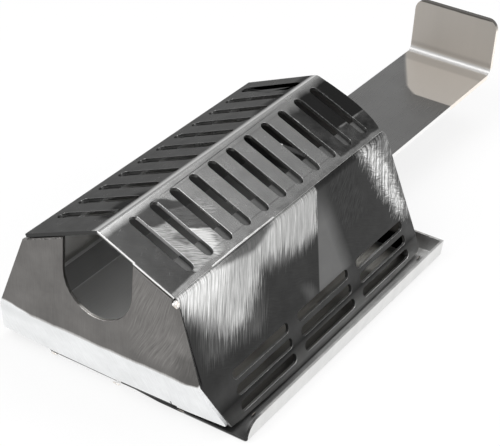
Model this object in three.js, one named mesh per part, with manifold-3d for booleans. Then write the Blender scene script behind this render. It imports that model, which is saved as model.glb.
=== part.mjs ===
// Smoker chip tray: a slotted sheet-steel hood welded on a shallow lipped tray, with a chip pan that
// slides out through the far end on a long flat handle. Millimetres, +Z up, +X towards the handle.
import * as THREE from 'three';
import { mergeVertices } from 'three/addons/utils/BufferGeometryUtils.js';
import Module from 'manifold-3d';

const wasm = await Module();
wasm.setup();

// Driving sizes. X is measured from the near end, Y from the middle, Z from the tray's underside.
const HOOD_SHEET = 2;
const TRAY_SHEET = 1.5;
const PAN_SHEET = 1.5;
const HANDLE_SHEET = 3;
const SEAT_GAP = 0.3;
const CUT_OVERRUN = 5;

// Hood
const ROOF_LENGTH = 200;
const RIDGE_HEIGHT = 98.1;
const EAVE_HEIGHT = 78.8;
const EAVE_HALF_WIDTH = 45;
const FOOT_HALF_WIDTH = 72;
const RIDGE_BEND_RADIUS = 2;
const ROOF_FAR_BULGE = 6;
const ROOF_FAR_BULGE_SHARE = 0.78;
const ROOF_CORNER_RECESS = 4.5;
const FLANGE_WIDTH = 17.4;
const FLANGE_BEND_RADIUS = 1.5;
const WALL_FOOT_CROWN = 2.6;
const WALL_FOOT_CORNER = 5;
const FAR_FOOT_REACH = 8.6;
const FAR_PLATE_SET_BACK = 2;
const NEAR_BEND_HEIGHT = 32.3;
const NEAR_BEND_REACH = 2.6;
const NEAR_BEND_RADIUS = 2;
const NEAR_FOOT_SET_BACK = 11.7;
const PLATE_FOOT_CROWN = 4.2;
const PLATE_FOOT_CORNER = 2.5;

// Slots and loading mouth
const ROOF_SLOT_COUNT = 11;
const ROOF_SLOT_LENGTH = 39.6;
const ROOF_SLOT_WIDTH = 6.4;
const ROOF_SLOT_FROM_NEAR = 20.8;
const ROOF_SLOT_FROM_FAR = 13.2;
const ROOF_SLOT_FROM_RIDGE = 24.1;
const WALL_SLOT_GROUPS = 3;
const WALL_SLOT_LAND = 9;
const WALL_SLOT_ROWS = 3;
const WALL_SLOT_ROW_PITCH = 8.8;
const WALL_SLOT_WIDTH = 5.6;
const WALL_SLOTS_FROM_NEAR = 24;
const WALL_SLOTS_FROM_FAR = 4.4;
const WALL_SLOTS_FROM_FOOT = 7.5;
const MOUTH_RADIUS = 20.9;
const MOUTH_CENTRE_HEIGHT = 69.3;

// Tray
const TRAY_SIDE_MARGIN = 8.9;
const TRAY_NEAR_SET_BACK = 0.6;
const TRAY_FAR_MARGIN = 15;
const LIP_HEIGHT = 11;
const LIP_SPLAY = 0.8;
const LIP_BEND_RADIUS = 1;
const LIP_NEAR_ROUND = 8;
const CUTBACK_START = 41;
const CUTBACK_DEPTH = 16;

// Pan and handle
const HANDLE_TOP = 35.6;
const HANDLE_HALF_WIDTH = 29.3;
const HANDLE_REACH = 175.5;
const HANDLE_TAB_TOP = 71.8;
const HANDLE_TAB_SPLAY = 2;
const HANDLE_BEND_RADIUS = 3;
const HANDLE_TAB_CORNER = 7;
const PAN_FLOOR_HALF_WIDTH = 34;
const PAN_FLARE = 11;
const PAN_DEPTH = 9.5;
const PAN_BEND_RADIUS = 1;
const PAN_END_CLEARANCE = 1.7;
const DRAWER_CLEARANCE = 1.2;

// Welds
const BEAD_RADIUS = 0.7;
const DAB_RADIUS = 1.7;
const DAB_DROP = 3.4;
const BEAD_END_MARGIN = 3;
const TACK_LENGTH = 5;
const TACK_RADIUS = 0.8;
const NEAR_TACK_COUNT = 3;
const NEAR_TACK_PITCH = 40;
const NEAR_TACK_OFFSET = 2;
const SIDE_TACK_FROM_NEAR = 30;
const SIDE_TACK_PAST_ROOF = 3;
const FLANGE_TACK_COUNT = 4;
const SLOTS_BETWEEN_TACKS = 3;
const PAN_TACK_COUNT = 4;
const PAN_TACK_FROM_NEAR = 32;
const PAN_TACK_FROM_FAR = 33;

// Facets of round forms
const BEND_STEPS = 6;
const CURVE_STEPS = 7;
const BEAD_SIDES = 8;
const BEAD_RINGS = 6;

// Worked out from the driving sizes
const footHeight = TRAY_SHEET + SEAT_GAP;
const roofPitch = Math.atan2(RIDGE_HEIGHT - EAVE_HEIGHT, EAVE_HALF_WIDTH);
const wallLean = Math.atan2(FOOT_HALF_WIDTH - EAVE_HALF_WIDTH, EAVE_HEIGHT - footHeight);
const wallSheetAcross = HOOD_SHEET / Math.cos(wallLean);
const trayHalfWidth = FOOT_HALF_WIDTH + TRAY_SIDE_MARGIN;
const trayNearEdge = NEAR_FOOT_SET_BACK + TRAY_NEAR_SET_BACK;
const trayFarEdge = ROOF_LENGTH + TRAY_FAR_MARGIN;
const handleTabFace = ROOF_LENGTH + HANDLE_REACH;
const handleUnder = HANDLE_TOP - HANDLE_SHEET;
const panUnder = HANDLE_TOP + SEAT_GAP;
const panTop = panUnder + PAN_DEPTH;
const beyond = handleTabFace + HANDLE_TAB_SPLAY + HANDLE_SHEET + CUT_OVERRUN;
const roofSlotRun = ROOF_LENGTH - ROOF_SLOT_FROM_NEAR - ROOF_SLOT_FROM_FAR;
const roofSlotPitch = roofSlotRun / (ROOF_SLOT_COUNT - 1);
const wallSlotRun = ROOF_LENGTH - WALL_SLOTS_FROM_NEAR - WALL_SLOTS_FROM_FAR;
const wallGroupPitch = (wallSlotRun + WALL_SLOT_LAND) / WALL_SLOT_GROUPS;
const wallSlotLength = wallGroupPitch - WALL_SLOT_LAND;
const panTackPitch = (ROOF_LENGTH - PAN_TACK_FROM_NEAR - PAN_TACK_FROM_FAR) / (PAN_TACK_COUNT - 1);
const point = (x, y) => new THREE.Vector2(x, y);
const place = (x, y, z) => new THREE.Vector3(x, y, z);
const alongX = place(1, 0, 0);
const alongY = place(0, 1, 0);
const alongZ = place(0, 0, 1);

// Sheet outlines
function direction(from, to) {
  return to.clone().sub(from).normalize();
}

function leftOf(along) {
  return point(-along.y, along.x);
}

// A path moved to its left, its corners kept sharp
function offsetPath(path, distance) {
  const last = path.length - 1;
  return path.map((corner, i) => {
    const before = leftOf(direction(path[Math.max(i - 1, 0)], path[Math.max(i, 1)]));
    const after = leftOf(direction(path[Math.min(i, last - 1)], path[Math.min(i + 1, last)]));
    const middle = before.clone().add(after).divideScalar(1 + before.dot(after));
    return corner.clone().addScaledVector(middle, distance);
  });
}

// A path with its inner corners rounded, left turns and right turns with a radius each
function roundedPath(path, leftRadius, rightRadius) {
  const out = [path[0]];
  for (let i = 1; i < path.length - 1; i += 1) {
    const into = direction(path[i - 1], path[i]);
    const away = direction(path[i], path[i + 1]);
    const turn = Math.atan2(into.cross(away), into.dot(away));
    const radius = turn > 0 ? leftRadius : rightRadius;
    const start = path[i].clone().addScaledVector(into, -radius * Math.tan(Math.abs(turn) / 2));
    const centre = start.clone().addScaledVector(leftOf(into), Math.sign(turn) * radius);
    for (let step = 0; step <= BEND_STEPS; step += 1) {
      out.push(start.clone().rotateAround(centre, turn * step / BEND_STEPS));
    }
  }
  out.push(path[path.length - 1]);
  return out;
}

// The two faces of a folded sheet that lies to the left of its outer path
function outerFace(path, sheet, bendRadius) {
  return roundedPath(path, bendRadius + sheet, bendRadius);
}

function innerFace(path, sheet, bendRadius) {
  return roundedPath(offsetPath(path, sheet), bendRadius, bendRadius + sheet);
}

function sheetOutline(path, sheet, bendRadius) {
  return outerFace(path, sheet, bendRadius).concat(innerFace(path, sheet, bendRadius).reverse());
}

// X of a path of faces at a height, the path running up or down
function pathX(path, z) {
  const spans = path.slice(1).map((end, i) => [path[i], end]);
  const holds = ([a, b]) => z >= Math.min(a.y, b.y) && z <= Math.max(a.y, b.y);
  const [a, b] = spans.find(holds);
  return a.x + (b.x - a.x) * (z - a.y) / (b.y - a.y);
}

// Geometry and solids
function extrude(outline, depth) {
  const shape = outline instanceof THREE.Shape ? outline : new THREE.Shape(outline);
  return new THREE.ExtrudeGeometry(shape, { depth, bevelEnabled: false, curveSegments: CURVE_STEPS });
}

function bare(geometry) {
  const copy = geometry.clone();
  copy.deleteAttribute('normal');
  copy.deleteAttribute('uv');
  return mergeVertices(copy);
}

function solid(geometry) {
  const merged = bare(geometry);
  return new wasm.Manifold(new wasm.Mesh({
    numProp: 3,
    vertProperties: new Float32Array(merged.attributes.position.array),
    triVerts: new Uint32Array(merged.index.array),
  }));
}

function geometryOf(body) {
  const mesh = body.getMesh();
  const geometry = new THREE.BufferGeometry();
  geometry.setAttribute('position', new THREE.BufferAttribute(new Float32Array(mesh.vertProperties), 3));
  geometry.setIndex(new THREE.BufferAttribute(new Uint32Array(mesh.triVerts), 1));
  return geometry;
}

function turned(geometry, first, second, third, origin) {
  const frame = new THREE.Matrix4().makeBasis(first, second, third).setPosition(origin);
  return solid(geometry.applyMatrix4(frame));
}

// An outline in Y and Z drawn out along X
function runX(outline, from, to) {
  return turned(extrude(outline, to - from), alongY, alongZ, alongX, place(from, 0, 0));
}

// An outline in X and Z drawn out along Y
function runY(outline, from, to) {
  const backwards = alongY.clone().negate();
  return turned(extrude(outline, to - from), alongX, alongZ, backwards, place(0, to, 0));
}

// An outline in X and Y drawn out along Z
function runZ(outline, from, to) {
  return turned(extrude(outline, to - from), alongX, alongY, alongZ, place(0, 0, from));
}

// The other hand of a solid, across the middle plane
function otherHand(body) {
  return body.mirror([0, 1, 0]);
}

// A round-ended punch through a hood sheet, its middle on the outer face
function slotPunch(length, width, middle, along, outwards) {
  const reach = (length - width) / 2;
  const shape = new THREE.Shape();
  shape.absarc(reach, 0, width / 2, -Math.PI / 2, Math.PI / 2, false);
  shape.absarc(-reach, 0, width / 2, Math.PI / 2, 3 * Math.PI / 2, false);
  const depth = HOOD_SHEET + 2 * CUT_OVERRUN;
  const start = middle.clone().addScaledVector(outwards, -HOOD_SHEET - CUT_OVERRUN);
  const across = outwards.clone().cross(along);
  return turned(extrude(shape, depth), along, across, outwards, start);
}

// A weld bead along a line of places, round at its ends and corners
function bead(places, radius) {
  const parts = places.map((at) => solid(
    new THREE.SphereGeometry(radius, BEAD_SIDES, BEAD_RINGS).translate(at.x, at.y, at.z)));
  for (let i = 1; i < places.length; i += 1) {
    const run = places[i].clone().sub(places[i - 1]);
    const middle = places[i].clone().add(places[i - 1]).divideScalar(2);
    const turn = new THREE.Quaternion().setFromUnitVectors(alongY, run.clone().normalize());
    parts.push(solid(new THREE.CylinderGeometry(radius, radius, run.length(), BEAD_SIDES)
      .applyQuaternion(turn)
      .translate(middle.x, middle.y, middle.z)));
  }
  return parts.reduce((all, part) => all.add(part));
}

// A small oval tack with its long axis along X or Y
function tack(at, along) {
  const stretch = TACK_LENGTH / (2 * TACK_RADIUS);
  const grow = place(1, 1, 1).addScaledVector(along, stretch - 1);
  return solid(new THREE.SphereGeometry(TACK_RADIUS, BEAD_SIDES, BEAD_RINGS)
    .scale(grow.x, grow.y, grow.z)
    .translate(at.x, at.y, at.z));
}

// Hood faces. The near path runs down and the far path runs up, so each sheet lies to the left.
const farSlope = FAR_FOOT_REACH / (EAVE_HEIGHT - footHeight);
const nearSlope = NEAR_BEND_REACH / (RIDGE_HEIGHT - NEAR_BEND_HEIGHT);
const bandSlope = (NEAR_FOOT_SET_BACK + NEAR_BEND_REACH) / (NEAR_BEND_HEIGHT - footHeight);
const nearPath = [
  point(CUT_OVERRUN * nearSlope, RIDGE_HEIGHT + CUT_OVERRUN),
  point(-NEAR_BEND_REACH, NEAR_BEND_HEIGHT),
  point(NEAR_FOOT_SET_BACK + footHeight * bandSlope, 0),
];
const farEdgeX = (z) => ROOF_LENGTH + (EAVE_HEIGHT - z) * farSlope;
const farPath = [
  point(farEdgeX(0), 0),
  point(farEdgeX(RIDGE_HEIGHT + CUT_OVERRUN), RIDGE_HEIGHT + CUT_OVERRUN),
];
const farPlatePath = offsetPath(farPath, FAR_PLATE_SET_BACK);
const nearBack = offsetPath(nearPath, HOOD_SHEET + SEAT_GAP);
const farBack = offsetPath(farPlatePath, HOOD_SHEET + SEAT_GAP);

// Half-width of the walls' outer face, and height of the roof's underside
function wallOuter(z) {
  return FOOT_HALF_WIDTH - (z - footHeight) * Math.tan(wallLean);
}

function roofUnder(y) {
  return RIDGE_HEIGHT - HOOD_SHEET / Math.cos(roofPitch) - Math.abs(y) * Math.tan(roofPitch);
}

// Where a line beside the wall's outer face meets a line below the roof's underside
function eaveCorner(inset, drop) {
  const rise = Math.tan(roofPitch);
  const lean = Math.tan(wallLean);
  const top = roofUnder(0) - drop / Math.cos(roofPitch);
  const z = (top - rise * (wallOuter(0) - inset)) / (1 - rise * lean);
  return point(wallOuter(z) - inset, z);
}

const flangeBend = eaveCorner(0, SEAT_GAP);
const flangeEnd = point(
  flangeBend.x - FLANGE_WIDTH * Math.cos(roofPitch),
  flangeBend.y + FLANGE_WIDTH * Math.sin(roofPitch),
);

// One sheet folded at the ridge, a row of slots in each slope, one far corner bowed and cut back
function roofCap() {
  const fold = [
    point(EAVE_HALF_WIDTH, EAVE_HEIGHT),
    point(0, RIDGE_HEIGHT),
    point(-EAVE_HALF_WIDTH, EAVE_HEIGHT),
  ];
  const plan = new THREE.Shape();
  plan.moveTo(0, -EAVE_HALF_WIDTH);
  plan.lineTo(ROOF_LENGTH - ROOF_CORNER_RECESS, -EAVE_HALF_WIDTH);
  plan.quadraticCurveTo(ROOF_LENGTH + ROOF_FAR_BULGE, -EAVE_HALF_WIDTH * ROOF_FAR_BULGE_SHARE,
    ROOF_LENGTH, 0);
  plan.lineTo(ROOF_LENGTH, EAVE_HALF_WIDTH);
  plan.lineTo(0, EAVE_HALF_WIDTH);
  let roof = runX(sheetOutline(fold, HOOD_SHEET, RIDGE_BEND_RADIUS), 0, ROOF_LENGTH + CUT_OVERRUN)
    .intersect(runZ(plan, 0, RIDGE_HEIGHT + CUT_OVERRUN));
  for (const side of [-1, 1]) {
    const down = place(0, side * Math.cos(roofPitch), -Math.sin(roofPitch));
    const outwards = place(0, side * Math.sin(roofPitch), Math.cos(roofPitch));
    for (let i = 0; i < ROOF_SLOT_COUNT; i += 1) {
      const middle = place(ROOF_SLOT_FROM_NEAR + i * roofSlotPitch, 0, RIDGE_HEIGHT)
        .addScaledVector(down, ROOF_SLOT_FROM_RIDGE);
      roof = roof.subtract(
        slotPunch(ROOF_SLOT_LENGTH, ROOF_SLOT_WIDTH, middle, down, outwards));
    }
  }
  return roof;
}

// The left wall: a leaning sheet with a crowned foot, air slots, and a flange under the roof
function sideWall() {
  const fold = [point(wallOuter(0), 0), flangeBend, flangeEnd];
  const foot = footHeight + WALL_FOOT_CROWN;
  const cornerTop = foot + WALL_FOOT_CORNER;
  const footStart = pathX(nearBack, foot);
  const footEnd = farEdgeX(foot) - WALL_FOOT_CORNER;
  const side = new THREE.Shape();
  side.moveTo(footStart, foot);
  side.quadraticCurveTo((footStart + footEnd) / 2, footHeight - WALL_FOOT_CROWN, footEnd, foot);
  side.quadraticCurveTo(farEdgeX(foot), foot, farEdgeX(cornerTop), cornerTop);
  side.lineTo(farEdgeX(RIDGE_HEIGHT), RIDGE_HEIGHT);
  side.lineTo(nearBack[0].x, RIDGE_HEIGHT);
  side.lineTo(nearBack[1].x, nearBack[1].y);
  const inside = [
    point(0, 0),
    point(wallOuter(0) - wallSheetAcross, 0),
    point(wallOuter(RIDGE_HEIGHT) - wallSheetAcross, RIDGE_HEIGHT),
    point(0, RIDGE_HEIGHT),
  ];
  const farRelief = [
    farBack[0],
    point(beyond, farBack[0].y),
    point(beyond, farBack[1].y),
    farBack[1],
  ];
  let wall = runX(sheetOutline(fold, HOOD_SHEET, FLANGE_BEND_RADIUS), 0, beyond)
    .intersect(runY(side, 0, FOOT_HALF_WIDTH + CUT_OVERRUN))
    .subtract(runX(inside, 0, beyond).intersect(runY(farRelief, 0, FOOT_HALF_WIDTH)));
  const up = place(0, -Math.sin(wallLean), Math.cos(wallLean));
  const outwards = place(0, Math.cos(wallLean), Math.sin(wallLean));
  for (let group = 0; group < WALL_SLOT_GROUPS; group += 1) {
    for (let row = 0; row < WALL_SLOT_ROWS; row += 1) {
      const x = WALL_SLOTS_FROM_NEAR + wallSlotLength / 2 + group * wallGroupPitch;
      const middle = place(x, FOOT_HALF_WIDTH, footHeight)
        .addScaledVector(up, WALL_SLOTS_FROM_FOOT + row * WALL_SLOT_ROW_PITCH);
      wall = wall.subtract(
        slotPunch(wallSlotLength, WALL_SLOT_WIDTH, middle, alongX, outwards));
    }
  }
  return wall;
}

// The outline of an end plate in Y and Z, between the walls and under the roof
function plateOutline(inset, crown) {
  const foot = footHeight + crown;
  const cornerTop = foot + PLATE_FOOT_CORNER;
  const reach = (z) => wallOuter(z) - inset;
  const top = eaveCorner(inset, SEAT_GAP);
  const shape = new THREE.Shape();
  shape.moveTo(-reach(foot) + PLATE_FOOT_CORNER, foot);
  shape.quadraticCurveTo(0, footHeight - crown, reach(foot) - PLATE_FOOT_CORNER, foot);
  shape.quadraticCurveTo(reach(foot), foot, reach(cornerTop), cornerTop);
  shape.lineTo(top.x, top.y);
  shape.lineTo(0, roofUnder(0) - SEAT_GAP / Math.cos(roofPitch));
  shape.lineTo(-top.x, top.y);
  shape.lineTo(-reach(cornerTop), cornerTop);
  shape.quadraticCurveTo(-reach(foot), foot, -reach(foot) + PLATE_FOOT_CORNER, foot);
  return shape;
}

// The near end: a sheet folded under, with the loading mouth open to the roof, notched for the dab
function nearEndPlate() {
  const mouth = new THREE.Shape();
  mouth.moveTo(-MOUTH_RADIUS, RIDGE_HEIGHT);
  mouth.lineTo(-MOUTH_RADIUS, MOUTH_CENTRE_HEIGHT);
  mouth.absarc(0, MOUTH_CENTRE_HEIGHT, MOUTH_RADIUS, Math.PI, 2 * Math.PI, false);
  mouth.lineTo(MOUTH_RADIUS, RIDGE_HEIGHT);
  const notchFoot = EAVE_HEIGHT - DAB_DROP - DAB_RADIUS - SEAT_GAP;
  const notch = [
    point(wallSheetAcross - wallOuter(notchFoot), notchFoot),
    point(wallSheetAcross - wallOuter(RIDGE_HEIGHT), RIDGE_HEIGHT),
    point(-FOOT_HALF_WIDTH, RIDGE_HEIGHT),
    point(-FOOT_HALF_WIDTH, notchFoot),
  ];
  return runY(sheetOutline(nearPath, HOOD_SHEET, NEAR_BEND_RADIUS), -FOOT_HALF_WIDTH, FOOT_HALF_WIDTH)
    .intersect(runX(plateOutline(0, PLATE_FOOT_CROWN), -CUT_OVERRUN, ROOF_LENGTH))
    .subtract(runX(mouth, -CUT_OVERRUN, ROOF_LENGTH))
    .subtract(runX(notch, -CUT_OVERRUN, ROOF_LENGTH));
}

// The far end: a leaning sheet with the opening that the pan and its handle slide through
function farEndPlate() {
  const sill = handleUnder - SEAT_GAP;
  const shoulder = panUnder - DRAWER_CLEARANCE;
  const stripReach = HANDLE_HALF_WIDTH + SEAT_GAP + 2 * TACK_RADIUS + DRAWER_CLEARANCE;
  const floorReach = PAN_FLOOR_HALF_WIDTH + DRAWER_CLEARANCE;
  const topReach = PAN_FLOOR_HALF_WIDTH + PAN_FLARE + 2 * DRAWER_CLEARANCE;
  const half = [
    point(stripReach, sill),
    point(stripReach, shoulder),
    point(floorReach, shoulder),
    point(topReach, panTop),
    point(topReach, panTop + DRAWER_CLEARANCE),
  ];
  const opening = half.concat(half.map((corner) => point(-corner.x, corner.y)).reverse());
  const inset = wallSheetAcross + SEAT_GAP;
  return runY(sheetOutline(farPlatePath, HOOD_SHEET, 0), -FOOT_HALF_WIDTH, FOOT_HALF_WIDTH)
    .intersect(runX(plateOutline(inset, 0), 0, beyond))
    .subtract(runX(opening, 0, beyond));
}

// The tray: a floor with folded lips on three sides, its near left corner cut back
function baseTray() {
  const across = [
    point(-trayHalfWidth - LIP_SPLAY, LIP_HEIGHT),
    point(-trayHalfWidth, 0),
    point(trayHalfWidth, 0),
    point(trayHalfWidth + LIP_SPLAY, LIP_HEIGHT),
  ];
  const lengthwise = [
    point(trayNearEdge, 0),
    point(trayFarEdge, 0),
    point(trayFarEdge + LIP_SPLAY, LIP_HEIGHT),
  ];
  const ceiling = LIP_HEIGHT + CUT_OVERRUN;
  const nearCut = trayNearEdge - CUT_OVERRUN;
  const outerAcross = outerFace(across, TRAY_SHEET, LIP_BEND_RADIUS);
  const outerLength = outerFace(lengthwise, TRAY_SHEET, LIP_BEND_RADIUS)
    .concat([point(trayNearEdge, LIP_HEIGHT)]);
  const innerAcross = innerFace(across, TRAY_SHEET, LIP_BEND_RADIUS);
  innerAcross.push(point(innerAcross[innerAcross.length - 1].x, ceiling));
  innerAcross.push(point(innerAcross[0].x, ceiling));
  const innerLength = innerFace(lengthwise, TRAY_SHEET, LIP_BEND_RADIUS);
  innerLength.push(point(innerLength[innerLength.length - 1].x, ceiling));
  innerLength.push(point(nearCut, ceiling));
  innerLength.push(point(nearCut, TRAY_SHEET));
  const reach = trayHalfWidth + CUT_OVERRUN;
  const cavity = runX(innerAcross, nearCut, beyond).intersect(runY(innerLength, -reach, reach));
  const cutback = [
    point(nearCut, CUTBACK_START),
    point(trayNearEdge, CUTBACK_START),
    point(trayNearEdge + CUTBACK_DEPTH, trayHalfWidth),
    point(trayNearEdge + CUTBACK_DEPTH, reach),
    point(nearCut, reach),
  ];
  const lipRound = (start) => {
    const shape = new THREE.Shape();
    const middle = LIP_HEIGHT - LIP_NEAR_ROUND;
    shape.moveTo(start, middle);
    shape.absarc(start + LIP_NEAR_ROUND, middle, LIP_NEAR_ROUND, Math.PI, Math.PI / 2, true);
    shape.lineTo(start + LIP_NEAR_ROUND, ceiling);
    shape.lineTo(start - CUT_OVERRUN, ceiling);
    shape.lineTo(start - CUT_OVERRUN, middle);
    return shape;
  };
  return runX(outerAcross, trayNearEdge, beyond)
    .intersect(runY(outerLength, -reach, reach))
    .subtract(cavity)
    .subtract(runZ(cutback, -CUT_OVERRUN, ceiling))
    .subtract(runY(lipRound(trayNearEdge), -reach, 0))
    .subtract(runY(lipRound(trayNearEdge + CUTBACK_DEPTH), 0, reach));
}

// The chip pan: an open box with flared sides, standing on the handle strip
function chipPan() {
  const section = [
    point(-PAN_FLOOR_HALF_WIDTH - PAN_FLARE, panTop),
    point(-PAN_FLOOR_HALF_WIDTH, panUnder),
    point(PAN_FLOOR_HALF_WIDTH, panUnder),
    point(PAN_FLOOR_HALF_WIDTH + PAN_FLARE, panTop),
  ];
  const start = pathX(nearBack, panTop) + PAN_END_CLEARANCE;
  const end = ROOF_LENGTH - HOOD_SHEET;
  const hollow = innerFace(section, PAN_SHEET, PAN_BEND_RADIUS);
  hollow.push(point(hollow[hollow.length - 1].x, panTop + CUT_OVERRUN));
  hollow.push(point(hollow[0].x, panTop + CUT_OVERRUN));
  return runX(outerFace(section, PAN_SHEET, PAN_BEND_RADIUS), start, end)
    .subtract(runX(hollow, start + PAN_SHEET, end - PAN_SHEET));
}

// The handle: a flat strip under the whole pan, turned up into a tab with rounded corners
function handleStrip() {
  const outerTab = handleTabFace + HANDLE_SHEET;
  const fold = [
    point(pathX(nearBack, handleUnder), handleUnder),
    point(outerTab, handleUnder),
    point(outerTab + HANDLE_TAB_SPLAY, HANDLE_TAB_TOP),
  ];
  const shoulder = HANDLE_TAB_TOP - HANDLE_TAB_CORNER;
  const cornerReach = HANDLE_HALF_WIDTH - HANDLE_TAB_CORNER;
  const face = new THREE.Shape();
  face.moveTo(-HANDLE_HALF_WIDTH, 0);
  face.lineTo(HANDLE_HALF_WIDTH, 0);
  face.absarc(cornerReach, shoulder, HANDLE_TAB_CORNER, 0, Math.PI / 2, false);
  face.absarc(-cornerReach, shoulder, HANDLE_TAB_CORNER, Math.PI / 2, Math.PI, false);
  return runY(sheetOutline(fold, HANDLE_SHEET, HANDLE_BEND_RADIUS), -HANDLE_HALF_WIDTH, HANDLE_HALF_WIDTH)
    .intersect(runX(face, 0, beyond));
}

// The left bead inside the corner of the near plate and the wall
function nearCornerWeld() {
  const room = SEAT_GAP + BEAD_RADIUS;
  const seam = offsetPath(nearPath, HOOD_SHEET + room);
  const inset = wallSheetAcross + room / Math.cos(wallLean);
  const at = (z) => place(pathX(seam, z), wallOuter(z) - inset, z);
  const foot = footHeight + PLATE_FOOT_CROWN + BEAD_END_MARGIN;
  return bead([at(foot), at(seam[1].y), at(flangeBend.y - 2 * BEAD_END_MARGIN)], BEAD_RADIUS);
}

// The dab of weld in the near plate's notch, below the right eave
function eaveWeld() {
  const height = EAVE_HEIGHT - DAB_DROP;
  const inwards = (HOOD_SHEET - SEAT_GAP - DAB_RADIUS) / Math.cos(wallLean);
  const x = pathX(nearPath, height) + HOOD_SHEET - DAB_RADIUS;
  return bead([place(x, inwards - wallOuter(height), height)], DAB_RADIUS);
}

// The left bead in the step between the far plate and the wall
function farCornerWeld() {
  const room = SEAT_GAP + BEAD_RADIUS;
  const seam = offsetPath(farPlatePath, -room);
  const inset = wallSheetAcross + room / Math.cos(wallLean);
  const at = (z) => place(pathX(seam, z), wallOuter(z) - inset, z);
  const foot = footHeight + WALL_FOOT_CROWN + BEAD_END_MARGIN;
  return bead([at(foot), at(flangeBend.y - 2 * BEAD_END_MARGIN)], BEAD_RADIUS);
}

// The left bead under the roof, the X of each end worked out from its height
function gableWeld(from, xAt) {
  const drop = (SEAT_GAP + BEAD_RADIUS) / Math.cos(roofPitch);
  const at = (y) => place(xAt(roofUnder(y) - drop), y, roofUnder(y) - drop);
  return bead([at(from), at(flangeEnd.x - BEAD_END_MARGIN)], BEAD_RADIUS);
}

// Tacks between the left flange's edge and the roof, in the steel between the slots
function flangeTacks() {
  const y = flangeEnd.x - HOOD_SHEET * Math.sin(roofPitch) - SEAT_GAP - TACK_RADIUS;
  const z = roofUnder(y) - (SEAT_GAP + TACK_RADIUS) / Math.cos(roofPitch);
  const tacks = [];
  for (let i = 0; i < FLANGE_TACK_COUNT; i += 1) {
    const x = ROOF_SLOT_FROM_NEAR + roofSlotPitch * (i * SLOTS_BETWEEN_TACKS + 1 / 2);
    tacks.push(tack(place(x, y, z), alongX));
  }
  return tacks;
}

// Tacks along the tray's near edge, under the crowned foot of the near plate
function nearFloorTacks() {
  const tacks = [];
  const halfFoot = wallOuter(footHeight + PLATE_FOOT_CROWN) - PLATE_FOOT_CORNER;
  for (let i = 0; i < NEAR_TACK_COUNT; i += 1) {
    const y = (i - (NEAR_TACK_COUNT - 1) / 2) * NEAR_TACK_PITCH - NEAR_TACK_OFFSET;
    const edge = footHeight + PLATE_FOOT_CROWN * (y / halfFoot) ** 2;
    const z = Math.max(TACK_RADIUS, edge - SEAT_GAP - TACK_RADIUS);
    tacks.push(tack(place(trayNearEdge - SEAT_GAP - TACK_RADIUS, y, z), alongY));
  }
  return tacks;
}

// Tacks on the tray floor beside the left wall's foot
function sideFloorTacks() {
  const z = TRAY_SHEET + SEAT_GAP + TACK_RADIUS;
  const y = wallOuter(z) + SEAT_GAP + TACK_RADIUS / Math.cos(wallLean);
  const places = [SIDE_TACK_FROM_NEAR, ROOF_LENGTH + SIDE_TACK_PAST_ROOF];
  return places.map((x) => tack(place(x, y, z), alongX));
}

// Tacks between the strip's left edge and the underside of the pan
function panTacks() {
  const y = HANDLE_HALF_WIDTH + SEAT_GAP + TACK_RADIUS;
  const z = panUnder - SEAT_GAP - TACK_RADIUS;
  const tacks = [];
  for (let i = 0; i < PAN_TACK_COUNT; i += 1) {
    tacks.push(tack(place(PAN_TACK_FROM_NEAR + i * panTackPitch, y, z), alongX));
  }
  return tacks;
}

// The assembly
const SHEET_STEEL = { color: 0x8d8d8b, roughness: 0.42, metalness: 1 };
const TRAY_STEEL = { color: 0xa9a9a8, roughness: 0.38, metalness: 1 };
const PLATE_STEEL = { color: 0x8a8682, roughness: 0.45, metalness: 1 };
const PAN_STEEL = { color: 0x7f7f7d, roughness: 0.4, metalness: 1 };
const STRIP_STEEL = { color: 0x9b9996, roughness: 0.3, metalness: 1 };
const WELD_STEEL = { color: 0x6b6660, roughness: 0.55, metalness: 1 };

const group = new THREE.Group();
group.name = 'smoker_chip_tray';

function add(name, body, finish) {
  const mesh = new THREE.Mesh(geometryOf(body), new THREE.MeshStandardMaterial(finish));
  mesh.geometry.computeVertexNormals();
  mesh.name = name;
  group.add(mesh);
}

function addPair(name, body, finish) {
  add(`${name}_left`, body, finish);
  add(`${name}_right`, otherHand(body), finish);
}

const farSeam = offsetPath(farPlatePath, -SEAT_GAP - BEAD_RADIUS);
const nearSeam = offsetPath(nearPath, HOOD_SHEET + SEAT_GAP + BEAD_RADIUS);
const nearBeadX = (z) => pathX(nearSeam, z);
const farBeadX = (z) => pathX(farSeam, z);
add('base_tray', baseTray(), TRAY_STEEL);
add('roof_cap', roofCap(), SHEET_STEEL);
add('near_end_plate', nearEndPlate(), PLATE_STEEL);
add('far_end_plate', farEndPlate(), PLATE_STEEL);
addPair('side_wall', sideWall(), SHEET_STEEL);
addPair('near_corner_weld', nearCornerWeld(), WELD_STEEL);
addPair('far_corner_weld', farCornerWeld(), WELD_STEEL);
add('eave_weld_right', eaveWeld(), WELD_STEEL);
addPair('near_gable_weld', gableWeld(MOUTH_RADIUS + BEAD_END_MARGIN, nearBeadX), WELD_STEEL);
addPair('far_gable_weld', gableWeld(2 * BEAD_END_MARGIN, farBeadX), WELD_STEEL);
flangeTacks().forEach((body, i) => addPair(`roof_tack_${i + 1}`, body, WELD_STEEL));
nearFloorTacks().forEach((body, i) => add(`near_floor_tack_${i + 1}`, body, WELD_STEEL));
sideFloorTacks().forEach((body, i) => addPair(`side_floor_tack_${i + 1}`, body, WELD_STEEL));
add('chip_pan', chipPan(), PAN_STEEL);
add('handle_strip', handleStrip(), STRIP_STEEL);
panTacks().forEach((body, i) => addPair(`pan_tack_${i + 1}`, body, WELD_STEEL));

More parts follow.
